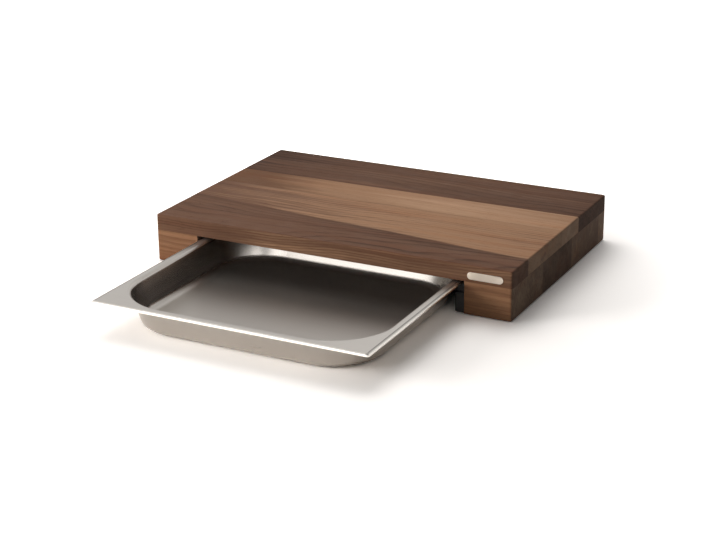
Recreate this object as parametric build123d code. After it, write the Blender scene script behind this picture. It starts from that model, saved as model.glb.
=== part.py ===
from build123d import *
import os

# A walnut cutting board that stands over a sliding stainless tray.
# Millimetres. +X to the right along the front, +Y to the back, +Z up. The
# origin is on the worktop, under the middle of the board and its pulled tray.

# ---- Board ------------------------------------------------------------------
board_width = 485.0
board_depth = 320.0
top_thickness = 20.5
back_rail_width = 25.0
corner_round = 3.0
top_edge_round = 2.0
bottom_edge_round = 1.6
opening_edge_round = 1.0

# Glue lines, counted from the front: the last piece takes what is left.
front_stave_width = 160.0
middle_stave_width = 59.0
front_block_length = 98.0
middle_block_length = 98.0

# ---- Tray -------------------------------------------------------------------
tray_width = 354.0
tray_length = 325.0
tray_height = 39.2
sheet = 0.9
flange_width = 12.0
flange_corner_round = 4.0
lip_height = 3.4
lip_round = 3.0
wall_corner_round = 74.0
wall_draft = 18.0
mouth_round = 5.0
floor_round = 10.0

# ---- How the tray sits under the board --------------------------------------
tray_pull_out = 237.5
tray_stand = 0.5
tray_side_gap = 5.0
tray_top_gap = 2.1
runner_gap = 0.3
runner_wall_gap = 2.6
runner_height = 10.0
runner_setback = 6.0
runner_end_round = 4.0

# ---- Fasteners, feet and badge ----------------------------------------------
screws_per_runner = 2
screw_end_inset = 25.0
screw_radius = 1.75
screw_head_radius = 3.4
screw_head_height = 2.2
screw_length = 30.0
fastener_clearance = 0.1
foot_width = 12.0
foot_length = 24.0
foot_stand = 0.8
foot_recess = 1.5
foot_end_inset = 40.0
badge_length = 45.0
badge_height = 9.0
badge_thickness = 0.9
badge_edge_bevel = 0.3
badge_from_right = 34.0
badge_from_top = 12.7
badge_pin_spacing = 30.0
badge_pin_radius = 0.9
badge_pin_length = 7.0

# ---- Worked out from the sizes above ----------------------------------------
opening_width = tray_width + 2 * tray_side_gap
side_rail_width = (board_width - opening_width) / 2
rail_height = tray_stand + tray_height + tray_top_gap - foot_stand
board_front = tray_pull_out - (board_depth + tray_pull_out) / 2
board_back = board_front + board_depth
cavity_back = board_back - back_rail_width
rail_bottom = foot_stand
rail_top = rail_bottom + rail_height
board_top = rail_top + top_thickness
tray_top = tray_stand + tray_height
tray_centre_y = board_front - tray_pull_out + tray_length / 2
bowl_width = tray_width - 2 * flange_width
bowl_length = tray_length - 2 * flange_width
hidden_mouth_round = mouth_round - sheet
runner_top = tray_top - lip_height - runner_gap
runner_width = tray_side_gap + flange_width - sheet - runner_wall_gap
runner_front = board_front + runner_setback
runner_axis_z = runner_top - runner_height / 2
runner_face_x = opening_width / 2 - runner_width
side_rail_centre_x = (opening_width + side_rail_width) / 2
badge_x = board_width / 2 - badge_from_right
badge_z = board_top - badge_from_top

SIDES = {"left": -1, "right": 1}
FAR = 2 * (board_width + board_depth)


def box_between(x_span, y_span, z_span):
    """A box from its low and high limit on each axis."""
    size = [high - low for low, high in (x_span, y_span, z_span)]
    middle = [(high + low) / 2 for low, high in (x_span, y_span, z_span)]
    return Pos(*middle) * Box(*size)


def board_layer(bottom, top, rounded_rim, rim_round):
    """A full-size layer of the board, its corners and one rim eased."""
    half = board_width / 2
    layer = box_between((-half, half), (board_front, board_back), (bottom, top))
    layer = fillet(layer.edges().filter_by(Axis.Z), corner_round)
    return fillet(layer.edges().group_by(Axis.Z)[rounded_rim], rim_round)


def slice_along_y(solid, x_span, cuts):
    """The slices of a solid between one cut and the next, front to back."""
    return [
        solid & box_between(x_span, (front, back), (-FAR, FAR))
        for front, back in zip(cuts, cuts[1:])
    ]


# ---- Fasteners --------------------------------------------------------------
def runner_screw(grow=0.0):
    """A blunt countersunk screw along +X, or the hole for it when grown."""
    shank = screw_radius + grow
    end = screw_length + grow
    outline = Polyline(
        (0, 0), (0, screw_head_radius + grow), (screw_head_height, shank),
        (end, shank), (end, 0), close=True,
    )
    return revolve(make_face(outline), Axis.X)


def runner_screws(side, grow=0.0):
    """The screws of one runner, heads flush in its inner face."""
    first = runner_front + screw_end_inset
    pitch = (cavity_back - screw_end_inset - first) / (screws_per_runner - 1)
    turn = 0 if side > 0 else 180
    return [
        Pos(side * runner_face_x, first + index * pitch, runner_axis_z)
        * Rot(0, 0, turn) * runner_screw(grow)
        for index in range(screws_per_runner)
    ]


def badge_pins(grow=0.0):
    """The two pins behind the badge, or their holes when grown."""
    length = badge_pin_length + grow
    return [
        Pos(badge_x + sign * badge_pin_spacing / 2, board_front + length / 2, badge_z)
        * Rot(90, 0, 0) * Cylinder(badge_pin_radius + grow, length)
        for sign in SIDES.values()
    ]


# ---- Wood -------------------------------------------------------------------
def top_staves():
    """The edge-glued staves of the top panel."""
    panel = board_layer(rail_top, board_top, -1, top_edge_round)
    for hole in badge_pins(fastener_clearance):
        panel -= hole
    first_line = board_front + front_stave_width
    cuts = [board_front, first_line, first_line + middle_stave_width, board_back]
    names = ["top_stave_front", "top_stave_middle", "top_stave_back"]
    return dict(zip(names, slice_along_y(panel, (-FAR, FAR), cuts)))


def under_frame():
    """The frame under the top, open at the front, with its holes and recesses."""
    frame = board_layer(rail_bottom, rail_top, 0, bottom_edge_round)
    half = opening_width / 2
    frame -= box_between((-half, half), (board_front - FAR, cavity_back), (-FAR, FAR))
    jambs = frame.edges().filter_by(Axis.Z).filter_by(
        lambda edge: abs(abs(edge.center().X) - half) < corner_round
        and edge.center().Y < board_front + corner_round
    )
    frame = fillet(jambs, opening_edge_round)
    for side in SIDES.values():
        for hole in runner_screws(side, fastener_clearance):
            frame -= hole
    for x, y in foot_places().values():
        frame -= Pos(x, y, rail_bottom) * Box(foot_width, foot_length, 2 * foot_recess)
    return frame


def frame_blocks():
    """The frame as glued: three blocks a side and one rail across the back."""
    frame = under_frame()
    first_line = board_front + front_block_length
    cuts = [board_front, first_line, first_line + middle_block_length, cavity_back]
    blocks = {"back_rail": slice_along_y(frame, (-FAR, FAR), [cavity_back, board_back])[0]}
    for name, side in SIDES.items():
        x_span = sorted((0, side * FAR))
        slices = slice_along_y(frame, x_span, cuts)
        for place, piece in zip(("front", "middle", "rear"), slices):
            blocks[f"{name}_rail_{place}_block"] = piece
    return blocks


def runner(side):
    """A strip that carries one edge of the tray, its front end eased."""
    x_span = sorted((side * runner_face_x, side * opening_width / 2))
    z_span = (runner_top - runner_height, runner_top)
    strip = box_between(x_span, (runner_front, cavity_back), z_span)
    lead_in = strip.edges().filter_by(Axis.X).group_by(Axis.Y)[0].sort_by(Axis.Z)[-1]
    inner_end = strip.edges().filter_by(Axis.Z).group_by(Axis.Y)[0].sort_by(Axis.X)
    strip = fillet([lead_in, inner_end[0 if side > 0 else -1]], runner_end_round)
    for hole in runner_screws(side, fastener_clearance):
        strip -= hole
    return strip


# ---- Tray -------------------------------------------------------------------
def rim_plate(inset):
    """The flange and its turned-down lip as a full block, inset on every side."""
    outline = RectangleRounded(
        tray_width - 2 * inset, tray_length - 2 * inset, flange_corner_round - inset
    )
    block = extrude(outline, lip_height - inset)
    block = fillet(block.edges().group_by(Axis.Z)[-1], lip_round - inset)
    return Pos(0, tray_centre_y, tray_top - lip_height) * block


def bowl(grow):
    """The drawn bowl as a full block: tapered walls and a rounded floor edge."""
    outline = RectangleRounded(
        bowl_width + 2 * grow, bowl_length + 2 * grow, wall_corner_round + grow
    )
    depth = tray_height - sheet + grow
    block = extrude(outline, depth, dir=(0, 0, -1), taper=wall_draft)
    block = fillet(block.edges().group_by(Axis.Z)[0], floor_round + grow)
    return Pos(0, tray_centre_y, tray_top) * block


def mouth_edges(solid, height):
    """The edges at one height that run round the bowl, not round the rim."""
    x_reach = bowl_width / 2 + mouth_round
    y_reach = bowl_length / 2 + mouth_round
    return solid.edges().filter_by(
        lambda edge: abs(edge.center().Z - height) < sheet / 10
        and abs(edge.center().X) < x_reach
        and abs(edge.center().Y - tray_centre_y) < y_reach
    )


def touching_bevel(radius):
    """The leg of the bevel that touches the middle of a round of this radius."""
    return radius * (2 - 2**0.5)


def drawer_tray():
    """The tray, one sheet: flange, lip, mouth, walls and floor.

    The mouth is round where it shows and bevelled on its hidden side.
    """
    tray = rim_plate(0) - rim_plate(sheet) + bowl(sheet)
    tray = chamfer(mouth_edges(tray, tray_top - sheet), touching_bevel(hidden_mouth_round))
    tray -= bowl(0)
    return fillet(mouth_edges(tray, tray_top), mouth_round)


# ---- Badge and feet ---------------------------------------------------------
def badge_plate():
    """A bare pill-shaped plate on the front of the top, its face edge bevelled."""
    outline = SlotOverall(badge_length, badge_height)
    plate = extrude(outline, badge_thickness)
    plate = chamfer(plate.edges().group_by(Axis.Z)[-1], badge_edge_bevel)
    return Pos(badge_x, board_front, badge_z) * Rot(90, 0, 0) * plate


def foot_places():
    """The name and the place of each foot, under the middle of the side rails."""
    rows = {
        "front": board_front + foot_end_inset,
        "back": board_back - foot_end_inset,
    }
    return {
        f"foot_{row}_{name}": (side * side_rail_centre_x, y)
        for row, y in rows.items()
        for name, side in SIDES.items()
    }


def foot():
    """A thin pad, let into the wood."""
    return extrude(Rectangle(foot_width, foot_length), foot_recess + foot_stand)


# ---- Everything -------------------------------------------------------------
def build():
    """Every piece by its name; a list is a group of like fasteners."""
    pieces = {**top_staves(), **frame_blocks()}
    for name, side in SIDES.items():
        pieces[f"runner_{name}"] = runner(side)
        pieces[f"runner_screws_{name}"] = Compound(children=runner_screws(side))
    pieces["drawer_tray"] = drawer_tray()
    pieces["badge_plate"] = badge_plate()
    pieces["badge_pins"] = Compound(children=badge_pins())
    for name, (x, y) in foot_places().items():
        pieces[name] = Pos(x, y, 0) * foot()
    return pieces


if __name__ == "__main__":
    os.makedirs("parts", exist_ok=True)
    for node, shape in build().items():
        export_step(shape, f"parts/{node}.step")
        print(f"{node}: {shape.volume / 1000:.2f} cm3")
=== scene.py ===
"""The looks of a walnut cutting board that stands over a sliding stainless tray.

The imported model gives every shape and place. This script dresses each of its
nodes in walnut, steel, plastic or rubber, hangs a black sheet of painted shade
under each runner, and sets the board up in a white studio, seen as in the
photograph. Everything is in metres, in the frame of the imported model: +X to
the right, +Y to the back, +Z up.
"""

import logging
import math
from dataclasses import dataclass
from enum import Enum

import bmesh
import bpy
from mathutils import Matrix, Vector


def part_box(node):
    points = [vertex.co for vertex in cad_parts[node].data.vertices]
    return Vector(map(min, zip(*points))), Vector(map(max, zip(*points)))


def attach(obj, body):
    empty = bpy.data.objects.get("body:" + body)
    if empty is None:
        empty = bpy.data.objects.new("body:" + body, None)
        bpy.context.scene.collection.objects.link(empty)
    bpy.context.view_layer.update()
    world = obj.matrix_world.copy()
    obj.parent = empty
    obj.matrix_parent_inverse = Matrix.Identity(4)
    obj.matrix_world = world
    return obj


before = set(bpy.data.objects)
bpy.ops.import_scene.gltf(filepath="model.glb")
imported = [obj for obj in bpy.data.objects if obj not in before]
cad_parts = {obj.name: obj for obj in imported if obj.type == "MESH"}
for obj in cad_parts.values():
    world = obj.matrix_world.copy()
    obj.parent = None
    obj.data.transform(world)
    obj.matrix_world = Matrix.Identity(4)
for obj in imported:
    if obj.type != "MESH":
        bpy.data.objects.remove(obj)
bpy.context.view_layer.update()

log = logging.getLogger("cutting_board")

Colour = tuple[float, float, float]
Point = tuple[float, float, float]
Pair = tuple[float, float]
Amounts = tuple[tuple[str, float], ...]
Socket = bpy.types.NodeSocket
Sockets = bpy.types.NodeOutputs
Value = Socket | float | tuple[float, ...]


def tone(red: int, green: int, blue: int) -> Colour:
    """Turns a colour as a screen shows it into the linear values of a shader.

    Args:
        red: red, from 0 to 255.
        green: green, from 0 to 255.
        blue: blue, from 0 to 255.

    Returns:
        The same colour in linear light, from 0 to 1.
    """
    shares = (channel / 255 for channel in (red, green, blue))
    return tuple(
        share / 12.92 if share <= 0.04045 else ((share + 0.055) / 1.055) ** 2.4
        for share in shares
    )


ZINC = tone(196, 197, 200)


class Blend(Enum):
    """How one colour is laid over another."""

    OVER = "MIX"
    DARKEN = "MULTIPLY"


class Kind(Enum):
    """What a socket of a node group carries."""

    NUMBER = "NodeSocketFloat"
    VECTOR = "NodeSocketVector"
    COLOUR = "NodeSocketColor"


class Along(Enum):
    """The number of the axis that a glue line's place is measured on."""

    DEPTH = 1
    HEIGHT = 2


@dataclass(frozen=True)
class Pattern:
    """A kind of soft noise.

    Attributes:
        cells: its cells to the metre on each axis. Few cells stretch it.
        detail: how many finer layers it has.
        swirl: how much it is distorted.
    """

    cells: tuple[float, float, float]
    detail: float = 2.0
    swirl: float = 0.0


# ---- Shader building ---------------------------------------------------------
class NodeKit:
    """Adds nodes to one shader tree and joins them, so that it reads as a formula."""

    def __init__(self, tree: bpy.types.NodeTree) -> None:
        """Starts on the tree that takes the nodes."""
        self.tree = tree

    def add(self, kind: str, *values: Value, **settings: object) -> bpy.types.Node:
        """Adds a node.

        Args:
            kind: the node's Blender type.
            values: its first inputs, in order.
            settings: its properties by name.

        Returns:
            The new node.
        """
        node = self.tree.nodes.new(kind)
        for name, setting in settings.items():
            setattr(node, name, setting)
        for socket, value in zip(node.inputs, values):
            self.feed(socket, value)
        return node

    def feed(self, socket: Socket, value: Value) -> None:
        """Joins a socket to another one, or writes a plain value on it.

        Args:
            socket: the input that is fed.
            value: an output socket, a number, or a colour or vector.
        """
        if isinstance(value, Socket):
            self.tree.links.new(value, socket)
        elif isinstance(value, tuple) and len(socket.default_value) > len(value):
            socket.default_value = (*value, 1.0)
        else:
            socket.default_value = value

    def fill(self, node: bpy.types.Node, **values: Value) -> None:
        """Feeds a node's inputs, given by name with _ for a space."""
        for name, value in values.items():
            self.feed(node.inputs[name.replace("_", " ")], value)

    def math(self, operation: str, *values: Value, clamp: bool = False) -> Socket:
        """Works on one to three numbers; clamp keeps the result from 0 to 1."""
        node = self.add("ShaderNodeMath", *values, operation=operation, use_clamp=clamp)
        return node.outputs[0]

    def vector(self, operation: str, *values: Value) -> Socket:
        """Works on vectors, and gives a vector."""
        node = self.add("ShaderNodeVectorMath", *values, operation=operation)
        return node.outputs["Vector"]

    def split(self, vector: Value) -> tuple[Socket, ...]:
        """Gives a vector's three numbers."""
        return tuple(self.add("ShaderNodeSeparateXYZ", vector).outputs)

    def noise(self, position: Value, pattern: Pattern, seed: Value) -> Socket:
        """Reads a soft noise.

        Args:
            position: where it is read.
            pattern: the kind of noise.
            seed: which noise of that kind it is.

        Returns:
            A value about 0.5.
        """
        node = self.add("ShaderNodeTexNoise", noise_dimensions="4D")
        self.fill(
            node,
            Vector=self.vector("MULTIPLY", position, pattern.cells),
            W=seed,
            Scale=1.0,
            Detail=pattern.detail,
            Distortion=pattern.swirl,
        )
        return node.outputs[0]

    def sway(self, value: Value, noise: Value, reach: float) -> Socket:
        """Moves a value up and down with a noise about 0.5, by reach over its span."""
        centred = self.math("SUBTRACT", noise, 0.5)
        return self.math("MULTIPLY_ADD", centred, reach, value)

    def step(self, value: Value, low: Value, high: Value) -> Socket:
        """Rises smoothly from 0 at one value to 1 at another.

        Args:
            value: what is measured.
            low: where the result is 0.
            high: where the result is 1.

        Returns:
            The result, from 0 to 1.
        """
        node = self.add("ShaderNodeMapRange", interpolation_type="SMOOTHSTEP")
        self.fill(node, Value=value, From_Min=low, From_Max=high)
        return node.outputs[0]

    def between(self, value: Value, low: Value, high: Value) -> Socket:
        """Scales a value of 0 to 1 to lie between two others.

        Args:
            value: what is scaled.
            low: the result at 0.
            high: the result at 1.

        Returns:
            The scaled value.
        """
        node = self.add("ShaderNodeMapRange")
        self.fill(node, Value=value, To_Min=low, To_Max=high)
        return node.outputs[0]

    def mix(
        self, share: Value, below: Value, above: Value, blend: Blend = Blend.OVER
    ) -> Socket:
        """Lays one colour over another.

        Args:
            share: how much of the upper colour shows.
            below: the lower colour.
            above: the upper colour.
            blend: how it is laid.

        Returns:
            The mixed colour.
        """
        node = self.add("ShaderNodeMix", data_type="RGBA", blend_type=blend.value)
        self.feed(node.inputs[0], share)
        self.feed(node.inputs[6], below)
        self.feed(node.inputs[7], above)
        return node.outputs[2]

    def bump(self, height: Value, depth: float, strength: float) -> Socket:
        """Turns a height into a bent normal.

        Args:
            height: the height, from 0 to 1.
            depth: how many metres a height of 1 stands up.
            strength: how much of it shows.

        Returns:
            The normal.
        """
        node = self.add("ShaderNodeBump")
        self.fill(node, Strength=strength, Distance=depth, Height=height)
        return node.outputs[0]


class Effect:
    """A shader node group that is built once and placed in many materials.

    Attributes:
        title: the group's name.
        inputs: the names of its inputs, by what they carry.
        outputs: the names of its outputs, in the same way.
    """

    title: str
    inputs: dict[Kind, tuple[str, ...]]
    outputs: dict[Kind, tuple[str, ...]]

    def draw(self, kit: NodeKit, taken: Sockets) -> dict[str, Value]:
        """Fills the tree from the inputs taken, and gives the outputs by name."""
        raise NotImplementedError

    def tree(self) -> bpy.types.NodeTree:
        """Gives the group's tree, and builds it the first time.

        Returns:
            The tree.
        """
        if self.title in bpy.data.node_groups:
            return bpy.data.node_groups[self.title]
        tree = bpy.data.node_groups.new(self.title, "ShaderNodeTree")
        for sockets, in_out in ((self.inputs, "INPUT"), (self.outputs, "OUTPUT")):
            for kind, names in sockets.items():
                for name in names:
                    tree.interface.new_socket(
                        name, in_out=in_out, socket_type=kind.value
                    )
        kit = NodeKit(tree)
        taken = kit.add("NodeGroupInput").outputs
        result = kit.add("NodeGroupOutput")
        for name, value in self.draw(kit, taken).items():
            kit.feed(result.inputs[name], value)
        return tree

    def place(self, kit: NodeKit, **values: Value) -> Sockets:
        """Puts the group into a material.

        Args:
            kit: the material's node kit.
            values: its inputs by name, with _ for a space.

        Returns:
            The group's outputs by name.
        """
        node = kit.add("ShaderNodeGroup", node_tree=self.tree())
        kit.fill(node, **values)
        return node.outputs


# ---- Effects that several finishes share ---------------------------------------
class WalnutGrain(Effect):
    """Walnut cut from a log: growth rings, streaks, fibres, pores and end grain.

    The rings are true cylinders round a heart that runs nearly along X, so the
    grain of the top, front and end faces of a piece meets at their edges.
    """

    BAND = Pattern((1.6, 30.0, 30.0), detail=3.0, swirl=0.3)
    STREAK = Pattern((3.4, 135.0, 135.0), detail=3.0, swirl=0.2)
    FIBRE = Pattern((18.0, 620.0, 620.0))
    FIBRE_TONE = 0.40
    CLOUD = Pattern((5.0, 14.0, 14.0), detail=3.0)
    CLOUD_TONE = 0.30
    BLUSH = Pattern((2.4, 52.0, 52.0))
    BLUSH_SEED = 9.0
    BLUSH_PATCHES = (0.45, 0.70)
    RED = (1.0, 0.90, 0.84)
    PORE = Pattern((95.0, 1900.0, 1900.0), detail=1.0)
    PORE_PATCHES = (0.60, 0.72)
    PORE_TONE = 0.30

    # The rings: how far they wander, in metres, where in a ring its dark late wood
    # starts and ends, and which years have it.
    WANDER = Pattern((4.2, 7.0, 7.0))
    WANDER_REACH = 0.030
    RIPPLE = Pattern((14.0, 60.0, 60.0))
    RIPPLE_REACH = 0.0022
    LATE_RISE = (0.25, 0.93)
    LATE_POWER = 2.0
    LATE_FALL = (1.0, 0.95)
    YEAR = Pattern((0.55, 1.0, 1.0))
    YEAR_TONE = 0.3
    DARK_YEARS = (0.3, 0.65)

    # The end grain: how far the normal is turned to X, and what is left of the rings.
    END_TURN = (0.35, 0.85)
    END_RINGS = 0.35

    ROUGHNESS = (0.58, 0.72)
    PORE_ROUGHNESS = 0.15
    END_ROUGHNESS = 0.12
    FIBRE_HEIGHT = 0.5
    PORE_HEIGHT = -0.7
    RING_HEIGHT = 0.2

    title = "walnut grain"
    inputs = {
        Kind.VECTOR: ("Position", "Normal"),
        Kind.NUMBER: (
            "Seed", "Shade", "Heart Y", "Heart Z", "Heart Climb",
            "Ring Width", "Ring Strength", "Streak Strength",
        ),
        Kind.COLOUR: ("Dark", "Middle", "Light", "End Tone"),
    }
    outputs = {Kind.COLOUR: ("Color",), Kind.NUMBER: ("Roughness", "Height")}

    def draw(self, kit: NodeKit, taken: Sockets) -> dict[str, Value]:
        """Makes the wood's colour, roughness and height.

        Args:
            kit: the tree's node kit.
            taken: the group's inputs by name.

        Returns:
            The group's outputs by name.
        """
        seed, position = taken["Seed"], taken["Position"]
        ring, year = self.rings(kit, taken)
        fibre = kit.noise(position, self.FIBRE, seed)
        pore = kit.step(kit.noise(position, self.PORE, seed), *self.PORE_PATCHES)
        along, _, _ = kit.split(taken["Normal"])
        end = kit.step(kit.math("ABSOLUTE", along), *self.END_TURN)

        band, streak = (
            kit.math("SUBTRACT", kit.noise(position, pattern, seed), 0.5)
            for pattern in (self.BAND, self.STREAK)
        )
        figure = kit.math("ADD", band, streak)
        value = kit.math("MULTIPLY_ADD", figure, taken["Streak Strength"], 0.5)
        value = kit.sway(value, year, self.YEAR_TONE)
        value = kit.sway(value, kit.noise(position, self.CLOUD, seed), self.CLOUD_TONE)
        value = kit.sway(value, fibre, self.FIBRE_TONE)
        depth = kit.between(end, 1.0, self.END_RINGS)
        depth = kit.math("MULTIPLY", taken["Ring Strength"], depth)
        value = kit.math("SUBTRACT", value, kit.math("MULTIPLY", ring, depth))
        value = kit.math("ADD", value, taken["Shade"], clamp=True)

        lower = kit.mix(kit.step(value, 0.0, 0.5), taken["Dark"], taken["Middle"])
        colour = kit.mix(kit.step(value, 0.5, 1.0), lower, taken["Light"])
        other_seed = kit.math("ADD", seed, self.BLUSH_SEED)
        blush = kit.noise(position, self.BLUSH, other_seed)
        blush = kit.step(blush, *self.BLUSH_PATCHES)
        colour = kit.mix(blush, colour, self.RED, Blend.DARKEN)
        stain = kit.math("MULTIPLY", pore, self.PORE_TONE)
        colour = kit.mix(stain, colour, taken["Dark"], Blend.DARKEN)
        # Darker end grain: partly its own darkness, partly painted shade on the side
        # away from the light.
        colour = kit.mix(end, colour, taken["End Tone"], Blend.DARKEN)

        rough = kit.between(fibre, *self.ROUGHNESS)
        rough = kit.math("MULTIPLY_ADD", pore, self.PORE_ROUGHNESS, rough)
        rough = kit.math("MULTIPLY_ADD", end, self.END_ROUGHNESS, rough)
        height = kit.math("MULTIPLY", fibre, self.FIBRE_HEIGHT)
        height = kit.math("MULTIPLY_ADD", pore, self.PORE_HEIGHT, height)
        height = kit.math("MULTIPLY_ADD", ring, self.RING_HEIGHT, height)
        return {"Color": colour, "Roughness": rough, "Height": height}

    def rings(self, kit: NodeKit, taken: Sockets) -> tuple[Socket, Socket]:
        """Makes the growth rings.

        Args:
            kit: the group's node kit.
            taken: the group's inputs.

        Returns:
            A mask of the dark late wood, and a tone that differs from ring to ring.
        """
        seed, position = taken["Seed"], taken["Position"]
        x, y, z = kit.split(position)
        across = kit.math("SUBTRACT", y, taken["Heart Y"])
        climb = kit.math("MULTIPLY", x, taken["Heart Climb"])
        up = kit.math("SUBTRACT", kit.math("SUBTRACT", z, taken["Heart Z"]), climb)
        squares = [kit.math("MULTIPLY", leg, leg) for leg in (across, up)]
        radius = kit.math("SQRT", kit.math("ADD", *squares))
        wander = kit.noise(position, self.WANDER, seed)
        radius = kit.sway(radius, wander, self.WANDER_REACH)
        ripple = kit.noise(position, self.RIPPLE, seed)
        radius = kit.sway(radius, ripple, self.RIPPLE_REACH)
        count = kit.math("DIVIDE", radius, taken["Ring Width"])
        share = kit.math("FRACT", count)
        rise = kit.math("POWER", kit.step(share, *self.LATE_RISE), self.LATE_POWER)
        late = kit.math("MULTIPLY", rise, kit.step(share, *self.LATE_FALL))
        row = kit.add("ShaderNodeCombineXYZ", count).outputs[0]
        year = kit.noise(row, self.YEAR, seed)
        return kit.math("MULTIPLY", late, kit.step(year, *self.DARK_YEARS)), year


class GlueLine(Effect):
    """A thin dark line where two glued pieces meet."""

    title = "glue line"
    inputs = {Kind.NUMBER: ("Coordinate", "Place", "Width")}
    outputs = {Kind.NUMBER: ("Mask",)}

    def draw(self, kit: NodeKit, taken: Sockets) -> dict[str, Value]:
        """Marks what is near the line's place."""
        gap = kit.math("SUBTRACT", taken["Coordinate"], taken["Place"])
        return {"Mask": kit.step(kit.math("ABSOLUTE", gap), taken["Width"], 0.0)}


class Handling(Effect):
    """Faint smudges and specks that change the gloss or the colour of any surface."""

    BROAD = Pattern((1.0, 1.0, 1.0), detail=4.0, swirl=0.6)
    SMUDGES = (0.42, 0.68)
    FINE = Pattern((22.0, 22.0, 22.0), detail=1.0)
    SPECKS = (0.66, 0.74)

    title = "handling"
    inputs = {Kind.VECTOR: ("Position",), Kind.NUMBER: ("Seed", "Size")}
    outputs = {Kind.NUMBER: ("Smudge", "Speck")}

    def draw(self, kit: NodeKit, taken: Sockets) -> dict[str, Value]:
        """Spreads the smudges and the specks.

        Args:
            kit: the tree's node kit.
            taken: the group's inputs by name.

        Returns:
            The group's outputs by name.
        """
        scaled = kit.vector("SCALE", taken["Position"])
        kit.feed(scaled.node.inputs["Scale"], taken["Size"])
        smudge = kit.noise(scaled, self.BROAD, taken["Seed"])
        speck = kit.noise(scaled, self.FINE, taken["Seed"])
        return {
            "Smudge": kit.step(smudge, *self.SMUDGES),
            "Speck": kit.step(speck, *self.SPECKS),
        }


class DrawnSheet(Effect):
    """The surface of rolled and drawn sheet steel: fine lines that follow one way."""

    FLAT_LINES = Pattern((6.0, 1500.0, 40.0), detail=3.0)
    WALL_LINES = Pattern((9.0, 9.0, 260.0))
    GRAIN = Pattern((2600.0, 2600.0, 2600.0), detail=1.0)
    GRAIN_HEIGHT = 0.5
    WALL_TURN = (0.92, 0.35)

    title = "drawn sheet"
    inputs = {Kind.VECTOR: ("Position", "Normal"), Kind.NUMBER: ("Seed",)}
    outputs = {Kind.NUMBER: ("Lines", "Wall", "Height")}

    def draw(self, kit: NodeKit, taken: Sockets) -> dict[str, Value]:
        """Draws the lines, across the flats and along the walls.

        Args:
            kit: the tree's node kit.
            taken: the group's inputs by name.

        Returns:
            The group's outputs by name.
        """
        seed, position = taken["Seed"], taken["Position"]
        _, _, up = kit.split(taken["Normal"])
        wall = kit.step(kit.math("ABSOLUTE", up), *self.WALL_TURN)
        flat_lines = kit.noise(position, self.FLAT_LINES, seed)
        wall_lines = kit.noise(position, self.WALL_LINES, seed)
        lines = kit.between(wall, flat_lines, wall_lines)
        grain = kit.noise(position, self.GRAIN, seed)
        height = kit.math("ADD", lines, kit.math("MULTIPLY", grain, self.GRAIN_HEIGHT))
        return {"Lines": lines, "Wall": wall, "Height": height}


class FlangeRim(Effect):
    """The rim of a rectangular flange: a groove line along its sides, where shade is
    painted, and its lip, where a highlight is painted.
    """

    LIP = (0.0017, 0.0009)
    TOP_TURN = (0.80, 0.95)

    title = "flange rim"
    inputs = {
        Kind.VECTOR: ("Position", "Normal"),
        Kind.NUMBER: ("Half Width", "Half Length", "Centre Y", "Inset", "Reach"),
    }
    outputs = {Kind.NUMBER: ("Groove", "Lip")}

    def draw(self, kit: NodeKit, taken: Sockets) -> dict[str, Value]:
        """Marks the groove line for painted shade, and the lip for a painted highlight.

        Args:
            kit: the tree's node kit.
            taken: the group's inputs by name.

        Returns:
            The group's outputs by name.
        """
        inset = taken["Inset"]
        x, y, _ = kit.split(taken["Position"])
        _, _, up = kit.split(taken["Normal"])
        y = kit.math("SUBTRACT", y, taken["Centre Y"])
        side = kit.math("SUBTRACT", taken["Half Width"], kit.math("ABSOLUTE", x))
        end = kit.math("SUBTRACT", taken["Half Length"], kit.math("ABSOLUTE", y))
        off = kit.math("ABSOLUTE", kit.math("SUBTRACT", side, inset))
        painted_groove_shade = kit.step(off, taken["Reach"], 0.0)
        painted_groove_shade = kit.math("MULTIPLY", painted_groove_shade, kit.step(up, *self.TOP_TURN))
        run = kit.step(end, inset, kit.math("MULTIPLY", inset, 2.0))
        inward = kit.math("MINIMUM", side, end)
        return {
            "Groove": kit.math("MULTIPLY", painted_groove_shade, run),
            "Lip": kit.step(inward, *self.LIP),
        }


# ---- Finishes -----------------------------------------------------------------
def start_material(name: str) -> tuple[bpy.types.Material, NodeKit, bpy.types.Node]:
    """Starts a material.

    Args:
        name: its name.

    Returns:
        The material, its node kit, and its shader.
    """
    material = bpy.data.materials.new(name)
    material.use_nodes = True
    kit = NodeKit(material.node_tree)
    return material, kit, kit.tree.nodes["Principled BSDF"]


@dataclass(frozen=True)
class Seam:
    """A glue line that a piece shares with its neighbour.

    Attributes:
        along: the axis that its place is measured on.
        place: where it is.
    """

    along: Along
    place: float


@dataclass(frozen=True)
class ColourBreak:
    """A natural change of colour across a stave, slanted in the top face, and painted
    light that lightens the stave's front face.

    Attributes:
        start: its place on Y in the middle of the board.
        slant: how far it moves on Y for each metre of X.
        width: how soft it is.
        shade: how much darker its front side is.
        front_face_painted_light: how much painted light makes the front face lighter
            than the top beside it.
        face_start: the place on X where the front face has grown lighter with painted
            light.
    """

    WOBBLE = Pattern((5.0, 12.0, 12.0), detail=3.0)
    WOBBLE_REACH = 0.012
    DARK_EDGE = (-0.016, -0.002)
    DARK_EDGE_TONE = -0.10
    # The painted light on the front face: the turn of its normal, and the softness of
    # its start.
    FACE_TURN = (-0.5, -0.9)
    FACE_FADE = 0.05

    start: float
    slant: float
    width: float
    shade: float
    front_face_painted_light: float
    face_start: float


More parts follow.
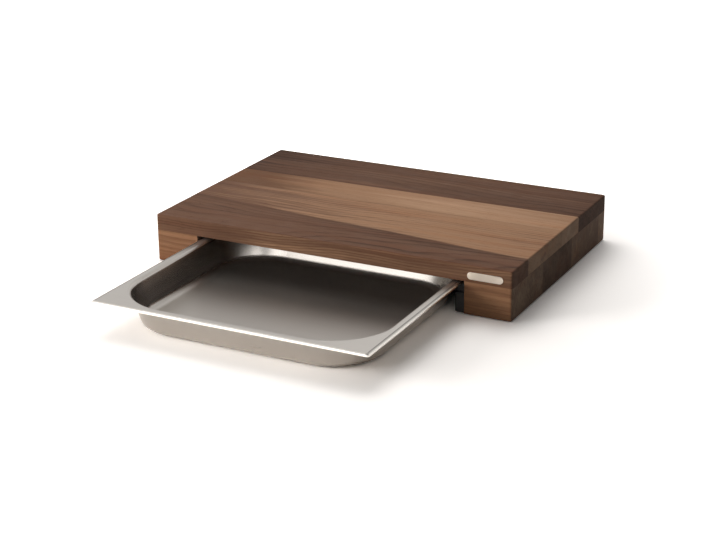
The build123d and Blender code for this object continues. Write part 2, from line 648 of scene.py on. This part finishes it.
@dataclass(frozen=True)
class Walnut:
    """An oiled walnut finish for one piece of the board.

    Attributes:
        name: the material's name.
        slot: the record's material slot.
        dark: its darkest tone.
        middle: its middle tone.
        light: its lightest tone.
        end_grain_and_shade_tone: the tint of its end grain: the end grain's own
            darkness, and painted shade on the side away from the light.
        seed: which cut of the log it is.
        heart: the heart of the log, on Y and Z.
        ring_width: how far apart its growth rings are.
        ring_strength: how dark their late wood is.
        shade: how much lighter it is than its middle tone.
        seams: its glue lines.
        climb: how far the heart climbs for each metre of X.
        tone_and_light_drift: how much lighter it grows for each metre of X, partly its
            natural tone and partly painted light.
        tone_and_shade_bow: how much darker it grows for each square metre of X, partly
            its natural tone and partly painted shade.
        colour_break: its change of colour, where it has one.
    """

    STREAK_STRENGTH = 0.60
    SMUDGE_CELLS = 26.0
    SMUDGE_ROUGHNESS = -0.06
    GRAIN_DEPTH = 0.00012
    GRAIN_STRENGTH = 0.6
    SPECULAR = 0.05
    SEAM_TONE = tone(60, 42, 32)
    SEAM_WIDTH = 0.0005
    SEAM_STRENGTH = 0.55

    name: str
    slot: str
    dark: Colour
    middle: Colour
    light: Colour
    end_grain_and_shade_tone: Colour
    seed: float
    heart: Pair
    ring_width: float
    ring_strength: float
    shade: float
    seams: tuple[Seam, ...]
    climb: float = 0.0
    tone_and_light_drift: float = 0.0
    tone_and_shade_bow: float = 0.0
    colour_break: ColourBreak | None = None

    def material(self) -> bpy.types.Material:
        """Builds the finish.

        Returns:
            The material.
        """
        material, kit, shader = start_material(self.name)
        place = kit.add("ShaderNodeTexCoord").outputs
        grain = WalnutGrain().place(
            kit,
            Position=place["Object"],
            Normal=place["Normal"],
            Seed=self.seed,
            Heart_Y=self.heart[0],
            Heart_Z=self.heart[1],
            Heart_Climb=self.climb,
            Ring_Width=self.ring_width,
            Ring_Strength=self.ring_strength,
            Streak_Strength=self.STREAK_STRENGTH,
            Shade=self.shading(kit, place["Object"], place["Normal"]),
            Dark=self.dark,
            Middle=self.middle,
            Light=self.light,
            End_Tone=self.end_grain_and_shade_tone,
        )
        colour = grain["Color"]
        for seam in self.seams:
            colour = self.seam_over(kit, colour, place["Object"], seam)
        wear = Handling().place(
            kit, Position=place["Object"], Seed=self.seed, Size=self.SMUDGE_CELLS
        )
        rough = kit.math(
            "MULTIPLY_ADD", wear["Smudge"], self.SMUDGE_ROUGHNESS, grain["Roughness"]
        )
        kit.fill(
            shader,
            Base_Color=colour,
            Roughness=rough,
            Normal=kit.bump(grain["Height"], self.GRAIN_DEPTH, self.GRAIN_STRENGTH),
            Specular_IOR_Level=self.SPECULAR,
        )
        return material

    def shading(self, kit: NodeKit, position: Value, normal: Value) -> Value:
        """Works out how much lighter or darker a place is than the finish's middle.

        Args:
            kit: the material's node kit.
            position: the place.
            normal: the surface's normal.

        Returns:
            The change of tone.
        """
        x, y, _ = kit.split(position)
        # Along X: partly the stave's natural tone, partly painted light and shade.
        slope = kit.math("MULTIPLY_ADD", x, -self.tone_and_shade_bow, self.tone_and_light_drift)
        along = kit.math("MULTIPLY_ADD", x, slope, self.shade)
        if self.colour_break is None:
            return along
        line = self.colour_break
        offset = kit.math("MULTIPLY_ADD", x, -line.slant, y)
        offset = kit.math("SUBTRACT", offset, line.start)
        wobble = kit.noise(position, line.WOBBLE, self.seed)
        offset = kit.sway(offset, wobble, line.WOBBLE_REACH)
        front = kit.step(offset, line.width, -line.width)
        edge = kit.math("MULTIPLY", front, kit.step(offset, *line.DARK_EDGE))
        shade = kit.between(front, along, self.shade)
        shade = kit.math("MULTIPLY_ADD", front, -line.shade, shade)
        shade = kit.math("MULTIPLY_ADD", edge, line.DARK_EDGE_TONE, shade)
        # Painted light: the front face is made lighter from face_start to the right.
        face = kit.step(kit.split(normal)[1], *line.FACE_TURN)
        fade = (line.face_start - line.FACE_FADE, line.face_start + line.FACE_FADE)
        painted_face_light = kit.math("MULTIPLY", face, kit.step(x, *fade))
        return kit.math("MULTIPLY_ADD", painted_face_light, line.front_face_painted_light, shade)

    def seam_over(
        self, kit: NodeKit, colour: Value, position: Value, seam: Seam
    ) -> Value:
        """Draws one glue line over the wood.

        Args:
            kit: the material's node kit.
            colour: the wood's colour.
            position: the place.
            seam: the glue line.

        Returns:
            The colour with the line on it.
        """
        line = GlueLine().place(
            kit,
            Coordinate=kit.split(position)[seam.along.value],
            Place=seam.place,
            Width=self.SEAM_WIDTH,
        )
        share = kit.math("MULTIPLY", line["Mask"], self.SEAM_STRENGTH)
        return kit.mix(share, colour, self.SEAM_TONE)


@dataclass(frozen=True)
class Rim:
    """The edge of a flange: painted shade in a groove line along its sides, and a
    painted highlight on its lip.

    Attributes:
        box: the low and the high corner of its piece.
        inset: how far inside the edge the painted groove shade runs.
        reach: how far it reaches to each side.
        shade: how much of the colour the painted groove shade takes away.
        lip_highlight: the colour of the painted highlight on the lip.
    """

    BLACK = (0.0, 0.0, 0.0)

    box: tuple[Vector, Vector]
    inset: float
    reach: float
    shade: float
    lip_highlight: Colour

    def colour(self, kit: NodeKit, colour: Value, place: Sockets) -> Value:
        """Paints shade along the groove line, and paints a highlight on the lip.

        Args:
            kit: the material's node kit.
            colour: the colour beside it.
            place: the outputs of the material's coordinates.

        Returns:
            The colour.
        """
        low, high = self.box
        rim = FlangeRim().place(
            kit,
            Position=place["Object"],
            Normal=place["Normal"],
            Half_Width=(high.x - low.x) / 2,
            Half_Length=(high.y - low.y) / 2,
            Centre_Y=(high.y + low.y) / 2,
            Inset=self.inset,
            Reach=self.reach,
        )
        # Painted shade along the groove line, and a painted highlight over the lip.
        painted_groove_shade = kit.math("MULTIPLY", rim["Groove"], self.shade)
        return kit.mix(rim["Lip"], kit.mix(painted_groove_shade, colour, self.BLACK), self.lip_highlight)


@dataclass(frozen=True)
class Steel:
    """A steel finish, from satin to bright.

    Attributes:
        name: the material's name.
        slot: the record's material slot.
        colour: its colour between the drawn lines.
        roughness: its roughness between the drawn lines and on them.
        line_depth: how deep the lines are.
        seed: which lines and smudges it has.
        wall_share: how rough upright walls are, as a share of the rest.
        rim: the painted groove shade and lip highlight of its flange's edge, where it
            has one.
    """

    LINE_TONE = 0.94
    LINE_STRENGTH = 0.5
    SMUDGE_CELLS = 9.0
    SMUDGE_ROUGHNESS = 0.012

    name: str
    slot: str
    colour: Colour
    roughness: Pair
    line_depth: float
    seed: float
    wall_share: float = 1.0
    rim: Rim | None = None

    def material(self) -> bpy.types.Material:
        """Builds the finish.

        Returns:
            The material.
        """
        material, kit, shader = start_material(self.name)
        place = kit.add("ShaderNodeTexCoord").outputs
        sheet = DrawnSheet().place(
            kit, Position=place["Object"], Normal=place["Normal"], Seed=self.seed
        )
        wear = Handling().place(
            kit, Position=place["Object"], Seed=self.seed, Size=self.SMUDGE_CELLS
        )
        rough = kit.between(sheet["Lines"], *self.roughness)
        walls = kit.between(sheet["Wall"], 1.0, self.wall_share)
        rough = kit.math("MULTIPLY", rough, walls)
        rough = kit.math("MULTIPLY_ADD", wear["Smudge"], self.SMUDGE_ROUGHNESS, rough)
        lined = tuple(self.LINE_TONE * channel for channel in self.colour)
        colour = kit.mix(sheet["Lines"], self.colour, lined)
        # The flange's painted groove shade and painted lip highlight.
        if self.rim:
            colour = self.rim.colour(kit, colour, place)
        kit.fill(
            shader,
            Base_Color=colour,
            Roughness=rough,
            Normal=kit.bump(sheet["Height"], self.line_depth, self.LINE_STRENGTH),
            Metallic=1.0,
        )
        return material


@dataclass(frozen=True)
class Moulded:
    """A matt moulded finish, of rubber or of plastic.

    Attributes:
        name: the material's name.
        slot: the record's material slot.
        colour: its colour.
        dust: the colour of the dust on it.
        roughness: its roughness where it is clean and where it is smudged.
        seed: which grain, smudges and dust it has.
    """

    GRAIN = Pattern((3000.0, 3000.0, 3000.0), detail=1.0)
    GRAIN_DEPTH = 0.00008
    GRAIN_STRENGTH = 0.7
    SMUDGE_CELLS = 90.0
    DUST_STRENGTH = 0.6

    name: str
    slot: str
    colour: Colour
    dust: Colour
    roughness: Pair
    seed: float

    def material(self) -> bpy.types.Material:
        """Builds the finish.

        Returns:
            The material.
        """
        material, kit, shader = start_material(self.name)
        place = kit.add("ShaderNodeTexCoord").outputs["Object"]
        wear = Handling().place(
            kit, Position=place, Seed=self.seed, Size=self.SMUDGE_CELLS
        )
        dusty = kit.math("MULTIPLY", wear["Speck"], self.DUST_STRENGTH)
        grain = kit.noise(place, self.GRAIN, self.seed)
        kit.fill(
            shader,
            Base_Color=kit.mix(dusty, self.colour, self.dust),
            Roughness=kit.between(wear["Smudge"], *self.roughness),
            Normal=kit.bump(grain, self.GRAIN_DEPTH, self.GRAIN_STRENGTH),
        )
        return material


Finish = Walnut | Steel | Moulded


def material_of(finish: Finish) -> bpy.types.Material:
    """Gives the material of a finish, and builds it the first time."""
    return bpy.data.materials.get(finish.name) or finish.material()


def dress(node: str, finish: Finish) -> None:
    """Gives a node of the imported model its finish.

    Args:
        node: the node's name.
        finish: what it is finished in.
    """
    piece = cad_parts[node]
    for slot in piece.material_slots:
        slot.material = material_of(finish)
    log.info("%s dressed in %s", node, finish.name)


def add_piece(piece: bpy.types.Object, body: str, finish: Finish) -> None:
    """Puts a piece of this script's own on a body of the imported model.

    Args:
        piece: the piece.
        body: the body that carries it.
        finish: what it is finished in.
    """
    piece.data.materials.append(material_of(finish))
    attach(piece, body)
    log.info("%s added in %s", piece.name, finish.name)


@dataclass(frozen=True)
class Extrusion:
    """An upright block with any outline, its edges eased.

    Attributes:
        name: the piece's name.
        outline: its corners in plan, in order.
        bottom: its lowest height.
        top: its highest height.
        edge: how far its edges are eased.
    """

    EASED_ANGLE = math.radians(40)
    EASING_STEPS = 2
    SHARP_ANGLE = math.radians(35)

    name: str
    outline: list[Pair]
    bottom: float
    top: float
    edge: float

    def mesh_object(self) -> bpy.types.Object:
        """Makes the block.

        Returns:
            The new object, linked to the scene.
        """
        shape = bmesh.new()
        ring = [shape.verts.new((x, y, self.bottom)) for x, y in self.outline]
        base = shape.faces.new(ring)
        raised = bmesh.ops.extrude_face_region(shape, geom=[base])["geom"]
        corners = [item for item in raised if isinstance(item, bmesh.types.BMVert)]
        bmesh.ops.translate(shape, verts=corners, vec=(0, 0, self.top - self.bottom))
        bmesh.ops.recalc_face_normals(shape, faces=shape.faces)
        rims = [rim for rim in shape.edges if rim.calc_face_angle() > self.EASED_ANGLE]
        easing = {"offset": self.edge, "segments": self.EASING_STEPS}
        bmesh.ops.bevel(shape, geom=rims, affect="EDGES", **easing)
        mesh = bpy.data.meshes.new(self.name)
        shape.to_mesh(mesh)
        shape.free()
        mesh.shade_smooth()
        mesh.set_sharp_from_angle(angle=self.SHARP_ANGLE)
        piece = bpy.data.objects.new(self.name, mesh)
        bpy.context.scene.collection.objects.link(piece)
        return piece


# ---- The board ----------------------------------------------------------------
@dataclass
class TopPanel:
    """Three staves, glued edge to edge, that make the cutting surface.

    Attributes:
        end_grain_and_shade_tone: the tint of their end grain, partly its own darkness
            and partly painted shade on the side away from the light.
    """

    end_grain_and_shade_tone: Colour = (0.69, 0.82, 0.97)

    def finishes(self) -> dict[str, Walnut]:
        """Chooses the wood of each stave.

        Returns:
            The finish of each node.
        """
        front_glue = Seam(Along.DEPTH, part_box("top_stave_front")[1].y)
        back_glue = Seam(Along.DEPTH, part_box("top_stave_back")[0].y)
        under_glue = Seam(Along.HEIGHT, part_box("top_stave_front")[0].z)
        front = Walnut(
            name="walnut_front_stave",
            slot="walnut_dark",
            dark=tone(62, 42, 31),
            middle=tone(104, 75, 58),
            light=tone(154, 118, 90),
            end_grain_and_shade_tone=self.end_grain_and_shade_tone,
            seed=3.1,
            heart=(-0.040, -0.085),
            climb=0.035,
            ring_width=0.0036,
            ring_strength=0.26,
            shade=0.42,
            tone_and_light_drift=0.75,
            tone_and_shade_bow=3.9,
            colour_break=ColourBreak(
                start=0.0303,
                slant=-0.102,
                width=0.0022,
                shade=0.47,
                front_face_painted_light=0.24,
                face_start=-0.11,
            ),
            seams=(front_glue, under_glue),
        )
        middle = Walnut(
            name="walnut_middle_stave",
            slot="walnut_light",
            dark=tone(102, 72, 52),
            middle=tone(148, 113, 86),
            light=tone(174, 138, 109),
            end_grain_and_shade_tone=self.end_grain_and_shade_tone,
            seed=7.4,
            heart=(0.330, -0.060),
            ring_width=0.0052,
            ring_strength=0.05,
            shade=0.17,
            tone_and_light_drift=1.9,
            tone_and_shade_bow=7.0,
            seams=(front_glue, back_glue, under_glue),
        )
        back = Walnut(
            name="walnut_back_stave",
            slot="walnut_dark",
            dark=tone(58, 39, 29),
            middle=tone(90, 64, 49),
            light=tone(120, 90, 70),
            end_grain_and_shade_tone=self.end_grain_and_shade_tone,
            seed=11.8,
            heart=(0.130, -0.120),
            climb=-0.02,
            ring_width=0.0048,
            ring_strength=0.24,
            shade=0.10,
            tone_and_light_drift=0.3,
            tone_and_shade_bow=5.0,
            seams=(back_glue, under_glue),
        )
        return {
            "top_stave_front": front,
            "top_stave_middle": middle,
            "top_stave_back": back,
        }

    def build(self) -> None:
        """Dresses the three staves."""
        for node, finish in self.finishes().items():
            dress(node, finish)


@dataclass
class UnderFrame:
    """The side rails, each glued up of three blocks, and the rail across the back.

    Each piece is another cut of the log, with its own seed and tone.

    Attributes:
        end_grain_and_shade_tone: the tint of their end grain, partly its own darkness
            and partly painted shade on the side away from the light.
        sides: the two sides, and how much lighter their front blocks are; on the right
            this is partly painted light.
        blocks: the blocks of a side, and how much painted light lightens their end
            grain.
        next_shade: a block's tone, as a share of the one in front of it.
        first_seed: the first block's seed.
        seed_step: how far apart the seeds are.
        back_painted_end_light: how much painted light lightens the back rail's end
            grain.
        heart: the heart of the log, on Y and Z.
        heart_sway: how far the heart moves on Y from cut to cut.
        climb: the most that the heart climbs for each metre of X.
    """

    end_grain_and_shade_tone: Colour = (0.52, 0.70, 0.93)
    sides: Amounts = (("left", 0.11), ("right", 0.22))
    blocks: Amounts = (("front", 1.0), ("middle", 1.0), ("rear", 1.35))
    next_shade: float = -0.5
    first_seed: float = 20.0
    seed_step: float = 1.7
    back_painted_end_light: float = 1.9
    heart: Pair = (-0.30, -0.16)
    heart_sway: float = 0.05
    climb: float = 0.03

    def finish(
        self,
        node: str,
        seed: float,
        shade: float,
        painted_end_light: float,
        seams: tuple[Seam, ...],
    ) -> Walnut:
        """Chooses the wood of one piece.

        Args:
            node: the piece's name.
            seed: which cut of the log it is.
            shade: how light it is.
            painted_end_light: how much painted light lightens its end grain beyond the
                others'.
            seams: its glue lines.

        Returns:
            Its finish.
        """
        heart_y, heart_z = self.heart
        return Walnut(
            name=f"walnut_{node}",
            slot="walnut_mid",
            dark=tone(76, 51, 37),
            middle=tone(120, 85, 62),
            light=tone(158, 117, 86),
            end_grain_and_shade_tone=tuple(painted_end_light * share for share in self.end_grain_and_shade_tone),
            seed=seed,
            heart=(heart_y + self.heart_sway * math.sin(seed), heart_z),
            climb=self.climb * math.cos(seed),
            ring_width=0.0045,
            ring_strength=0.22,
            shade=shade,
            seams=seams,
        )

    def build(self) -> None:
        """Dresses the six blocks and the back rail."""
        top_glue = Seam(Along.HEIGHT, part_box("back_rail")[1].z)
        back_glue = Seam(Along.DEPTH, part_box("back_rail")[0].y)
        seed = self.first_seed
        # A side's shade makes its front block lighter: a tone, and on the right partly
        # painted light.
        for side, shade in self.sides:
            # The rear block's end grain is lightened by painted light.
            for place, painted_end_light in self.blocks:
                node = f"{side}_rail_{place}_block"
                low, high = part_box(node)
                seams = [top_glue, Seam(Along.DEPTH, high.y)]
                if place != "front":
                    seams.insert(1, Seam(Along.DEPTH, low.y))
                dress(node, self.finish(node, seed, shade, painted_end_light, tuple(seams)))
                seed += self.seed_step
                shade *= self.next_shade
        seams = (top_glue, back_glue)
        dress("back_rail", self.finish("back_rail", seed, 0.0, self.back_painted_end_light, seams))


@dataclass
class Runners:
    """The two black strips under the tray's lip, with their screws, and a black sheet
    of painted shade under each.

    Attributes:
        sides: the two sides.
        strip: the strips' finish, and the shadow skirts'.
        screw: the screws' finish.
        floor_gap: how far a shadow skirt hangs over the worktop.
        shadow_skirt_setback: how far it is behind the front of the side rail.
        shadow_skirt_inset: how far its inner face is behind the strip's.
        corner: the radius of its front inner corner.
        corner_steps: how many faces that corner has.
        edge: how far its edges are eased.
    """

    sides: tuple[str, ...] = ("left", "right")
    strip: Moulded = Moulded(
        name="black_runner_plastic",
        slot="runner_plastic",
        colour=tone(30, 30, 31),
        dust=tone(58, 57, 56),
        roughness=(0.42, 0.55),
        seed=8.0,
    )
    screw: Steel = Steel(
        name="zinc_screw",
        slot="screw_steel",
        colour=ZINC,
        roughness=(0.22, 0.36),
        line_depth=0.00002,
        seed=5.0,
    )
    floor_gap: float = 0.0012
    shadow_skirt_setback: float = 0.0020
    shadow_skirt_inset: float = 0.0004
    corner: float = 0.0040
    corner_steps: int = 6
    edge: float = 0.0004

    def build(self) -> None:
        """Dresses the strips and the screws, and hangs a black sheet of painted shade
        under each strip.
        """
        for side in self.sides:
            dress(f"runner_{side}", self.strip)
            dress(f"runner_screws_{side}", self.screw)
            self.shadow_skirt(side)

    def shadow_skirt(self, side: str) -> None:
        """Makes the black sheet of painted shade that fills the gap between a strip and
        the worktop.

        Args:
            side: which strip it hangs under.
        """
        low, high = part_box(f"runner_{side}")
        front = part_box(f"{side}_rail_front_block")[0].y + self.shadow_skirt_setback
        inner, outer = (low.x, high.x) if side == "right" else (high.x, low.x)
        inner += math.copysign(self.shadow_skirt_inset, outer - inner)
        turn = math.copysign(1.0, outer - inner)
        outline = [(outer, high.y), (outer, front)]
        for index in range(self.corner_steps + 1):
            angle = 0.5 * math.pi * index / self.corner_steps
            x = inner + turn * self.corner * (1.0 - math.sin(angle))
            outline.append((x, front + self.corner * (1.0 - math.cos(angle))))
        outline.append((inner, high.y))
        # Painted shade: a black sheet that darkens the gap beside the tray down to the
        # floor.
        shadow_sheet = Extrusion(
            name=f"runner_shadow_skirt_{side}",
            outline=outline,
            bottom=self.floor_gap,
            top=low.z,
            edge=self.edge,
        )
        add_piece(shadow_sheet.mesh_object(), "board", self.strip)


@dataclass
class DrawerTray:
    """The drawn stainless tray.

    Attributes:
        groove_inset: how far inside the flange's edge its painted groove shade runs.
        groove_reach: how far the groove reaches to each side.
        groove_painted_shade: how much of the steel's colour the painted groove shade
            takes away.
        satin: the colour of its steel.
        lip_highlight: the colour of the painted highlight on its lip.
    """

    groove_inset: float = 0.0030
    groove_reach: float = 0.0012
    groove_painted_shade: float = 0.70
    satin: Colour = tone(184, 178, 171)
    lip_highlight: Colour = tone(224, 219, 211)

    def build(self) -> None:
        """Dresses the tray in satin steel, with painted groove shade and a painted lip
        highlight.
        """
        rim = Rim(
            box=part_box("drawer_tray"),
            inset=self.groove_inset,
            reach=self.groove_reach,
            shade=self.groove_painted_shade,
            lip_highlight=self.lip_highlight,
        )
        steel = Steel(
            name="satin_tray_steel",
            slot="tray_steel",
            colour=self.satin,
            roughness=(0.30, 0.41),
            line_depth=0.000003,
            seed=2.0,
            wall_share=0.70,
            rim=rim,
        )
        dress("drawer_tray", steel)


@dataclass
class Badge:
    """The bare metal pill on the front, with its pins.

    Attributes:
        plate: the plate's finish.
        pins: the pins' finish.
    """

    plate: Steel = Steel(
        name="satin_badge",
        slot="badge_steel",
        colour=tone(238, 226, 211),
        roughness=(0.28, 0.42),
        line_depth=0.00001,
        seed=9.0,
    )
    pins: Steel = Steel(
        name="zinc_pin",
        slot="screw_steel",
        colour=ZINC,
        roughness=(0.25, 0.4),
        line_depth=0.00001,
        seed=6.0,
    )

    def build(self) -> None:
        """Dresses the plate and the pins."""
        dress("badge_plate", self.plate)
        dress("badge_pins", self.pins)


@dataclass
class Feet:
    """The four thin pads under the side rails.

    Attributes:
        pad: their finish.
    """

    pad: Moulded = Moulded(
        name="foot_rubber_matt",
        slot="foot_rubber",
        colour=tone(38, 37, 36),
        dust=tone(96, 92, 88),
        roughness=(0.75, 0.9),
        seed=4.0,
    )

    def build(self) -> None:
        """Dresses the pads."""
        for row in ("front", "back"):
            for side in ("left", "right"):
                dress(f"foot_{row}_{side}", self.pad)


# ---- The studio ---------------------------------------------------------------
@dataclass(frozen=True)
class Softbox:
    """One large white lamp, pointed at the board.

    Attributes:
        name: the lamp's name.
        place: where it hangs.
        size: its width and height.
        power: its power in watts.
        lit: whether it lights the board and the floor.
        mirrored: whether it shows in reflections.
    """

    AIM = Vector((0.0, 0.0, 0.03))

    name: str
    place: Point
    size: Pair
    power: float
    lit: bool = True
    mirrored: bool = True

    def build(self) -> None:
        """Hangs the lamp and points it at the board."""
        data = bpy.data.lights.new(self.name, "AREA")
        data.shape = "RECTANGLE"
        data.size, data.size_y = self.size
        data.energy = self.power
        lamp = bpy.data.objects.new(self.name, data)
        lamp.location = self.place
        aim = self.AIM - Vector(self.place)
        lamp.rotation_euler = aim.to_track_quat("-Z", "Y").to_euler()
        lamp.visible_diffuse = self.lit
        lamp.visible_glossy = self.mirrored
        bpy.context.scene.collection.objects.link(lamp)
        log.info("%s hung", self.name)


@dataclass
class Studio:
    """A white floor and backdrop with soft light from the left, the back and above.

    Three lamps of different widths lie on one another at the strip's place, so
    that its reflection fades at both ends.

    Attributes:
        floor_reach: how far the floor goes from the middle.
        floor_white: the floor's colour where it lights the board.
        floor_shown: the floor's colour where it is seen.
        plain_from: the point that the floor grows plainer away from.
        plain_floor: how far from it the floor starts to, and is plain white.
        left_sky: how strongly the world lights the board from the left.
        right_sky: how strongly it does from the right.
        sky_sides: where on X the one goes over into the other.
        sky_climb: the share of that light from low down, and from above.
        sky_heights: where on Z the one goes over into the other.
        ceiling: how bright the world overhead is in reflections.
        ceiling_heights: where on Z it starts to dim, and is that bright.
        lamps: the lamps.
    """

    STRIP_PLACE = (-0.90, -1.75, 0.95)

    floor_reach: float = 6.0
    floor_white: Colour = (0.76, 0.74, 0.72)
    floor_shown: Colour = (1.31, 1.26, 1.215)
    plain_from: Point = (-0.02, -0.03, 0.0)
    plain_floor: Pair = (0.31, 0.80)
    left_sky: float = 0.40
    right_sky: float = 0.12
    sky_sides: Pair = (-0.7, 0.7)
    sky_climb: Pair = (0.25, 1.45)
    sky_heights: Pair = (-0.05, 0.75)
    ceiling: float = 0.40
    ceiling_heights: Pair = (0.42, 0.78)
    lamps: tuple[Softbox, ...] = (
        Softbox("top_softbox", (-0.60, 0.75, 1.60), (1.6, 1.6), 20.0, mirrored=False),
        Softbox("side_softbox", (-1.74, -1.35, 0.67), (1.2, 0.9), 46.0, mirrored=False),
        Softbox("strip_softbox", STRIP_PLACE, (1.9, 1.9), 21.0, lit=False),
        Softbox("strip_softbox_wide", STRIP_PLACE, (2.9, 1.9), 25.0, lit=False),
        Softbox("strip_softbox_core", STRIP_PLACE, (1.1, 1.9), 12.0, lit=False),
        Softbox("lip_softbox", (-0.86, 0.20, 1.55), (0.9, 1.3), 7.0, lit=False),
        Softbox("fill_softbox", (1.25, -1.55, 0.95), (0.8, 0.9), 3.0, lit=False),
        Softbox("back_softbox", (-0.15, 0.75, 0.72), (0.5, 0.3), 0.3, lit=False),
    )

    def build(self) -> None:
        """Sets up the floor, the world and the lamps."""
        self.floor()
        self.world()
        for lamp in self.lamps:
            lamp.build()
        bpy.context.scene.view_settings.view_transform = "Standard"

    def floor(self) -> None:
        """Lays the white floor, which keeps the board's shadow."""
        reach = self.floor_reach
        signs = ((-1, -1), (1, -1), (1, 1), (-1, 1))
        corners = [(x * reach, y * reach, 0) for x, y in signs]
        mesh = bpy.data.meshes.new("floor")
        mesh.from_pydata(corners, [], [(0, 1, 2, 3)])
        floor = bpy.data.objects.new("floor", mesh)
        bpy.context.scene.collection.objects.link(floor)
        mesh.materials.append(self.floor_material())
        log.info("floor laid")

    def floor_material(self) -> bpy.types.Material:
        """Builds the floor's finish.

        Returns:
            The material.
        """
        material, kit, shader = start_material("floor_white")
        kit.tree.nodes.remove(shader)
        seen = self.seen(kit)
        diffuse = kit.add(
            "ShaderNodeBsdfDiffuse", kit.mix(seen, self.floor_white, self.floor_shown)
        )
        place = kit.add("ShaderNodeTexCoord").outputs["Object"]
        away = kit.add(
            "ShaderNodeVectorMath", place, self.plain_from, operation="DISTANCE"
        )
        far = kit.step(away.outputs["Value"], *self.plain_floor)
        glow = kit.add("ShaderNodeEmission")
        kit.fill(glow, Strength=kit.math("MULTIPLY", seen, far))
        both = kit.add("ShaderNodeAddShader", diffuse.outputs[0], glow.outputs[0])
        surface = kit.tree.nodes["Material Output"].inputs["Surface"]
        kit.feed(surface, both.outputs[0])
        return material

    def world(self) -> None:
        """Surrounds the board with white, which lights it most from above left."""
        world = bpy.data.worlds.new("white_studio")
        world.use_nodes = True
        bpy.context.scene.world = world
        kit = NodeKit(world.node_tree)
        way = kit.add("ShaderNodeTexCoord").outputs["Generated"]
        x, _, z = kit.split(way)
        side = kit.between(kit.step(x, *self.sky_sides), self.left_sky, self.right_sky)
        climb = kit.between(kit.step(z, *self.sky_heights), *self.sky_climb)
        lit = kit.math("MULTIPLY", side, climb)
        overhead = kit.step(z, *self.ceiling_heights)
        mirrored = kit.between(overhead, 1.0, self.ceiling)
        path = kit.add("ShaderNodeLightPath").outputs
        strength = kit.between(self.mirror(kit, path), lit, mirrored)
        strength = kit.between(path["Is Camera Ray"], strength, 1.0)
        background = kit.tree.nodes["Background"]
        kit.fill(background, Color=(1.0, 1.0, 1.0), Strength=strength)

    @staticmethod
    def mirror(kit: NodeKit, path: Sockets) -> Socket:
        """Gives 1 in a reflection or through glass, and 0 elsewhere."""
        return kit.math("MAXIMUM", path["Is Glossy Ray"], path["Is Transmission Ray"])

    def seen(self, kit: NodeKit) -> Socket:
        """Gives 1 where a surface is seen, straight or mirrored, and 0 elsewhere."""
        path = kit.add("ShaderNodeLightPath").outputs
        return kit.math("MAXIMUM", path["Is Camera Ray"], self.mirror(kit, path))


@dataclass
class Camera:
    """The photograph's camera, found from the edges of the board.

    Attributes:
        azimuth: its direction round the board, in degrees from the front.
        elevation: its height, in degrees above the horizon.
        roll: how far it is tilted, in degrees.
        distance: how far it is from its target.
        target: the point in the middle of its view.
        lens: its focal length in millimetres.
        sensor: the width of its sensor in millimetres.
    """

    azimuth: float = 27.156
    elevation: float = 20.477
    roll: float = -0.48
    distance: float = 2.0411
    target: Point = (0.0414, -0.0367, 0.0311)
    lens: float = 85.37
    sensor: float = 36.0

    def build(self) -> None:
        """Sets the camera up."""
        data = bpy.data.cameras.new("photo_camera")
        data.sensor_width = self.sensor
        data.lens = self.lens
        camera = bpy.data.objects.new("photo_camera", data)
        azimuth, elevation = math.radians(self.azimuth), math.radians(self.elevation)
        level = math.cos(elevation)
        back = Vector(
            (math.sin(azimuth) * level, -math.cos(azimuth) * level, math.sin(elevation))
        )
        right = (-back).cross(Vector((0, 0, 1))).normalized()
        up = back.cross(right)
        turn = Matrix.Rotation(math.radians(self.roll), 3, back)
        axes = Matrix((turn @ right, turn @ up, back)).transposed()
        place = Matrix.Translation(Vector(self.target) + self.distance * back)
        camera.matrix_world = place @ axes.to_4x4()
        bpy.context.scene.collection.objects.link(camera)
        bpy.context.scene.camera = camera
        log.info("camera set")


def main() -> None:
    """Builds the studio and dresses the board, part by part."""
    logging.basicConfig(level=logging.INFO, format="%(name)s: %(message)s")
    parts = (Camera, Studio, TopPanel, UnderFrame, Runners, DrawerTray, Badge, Feet)
    for part in parts:
        part().build()


if __name__ == "__main__":
    main()
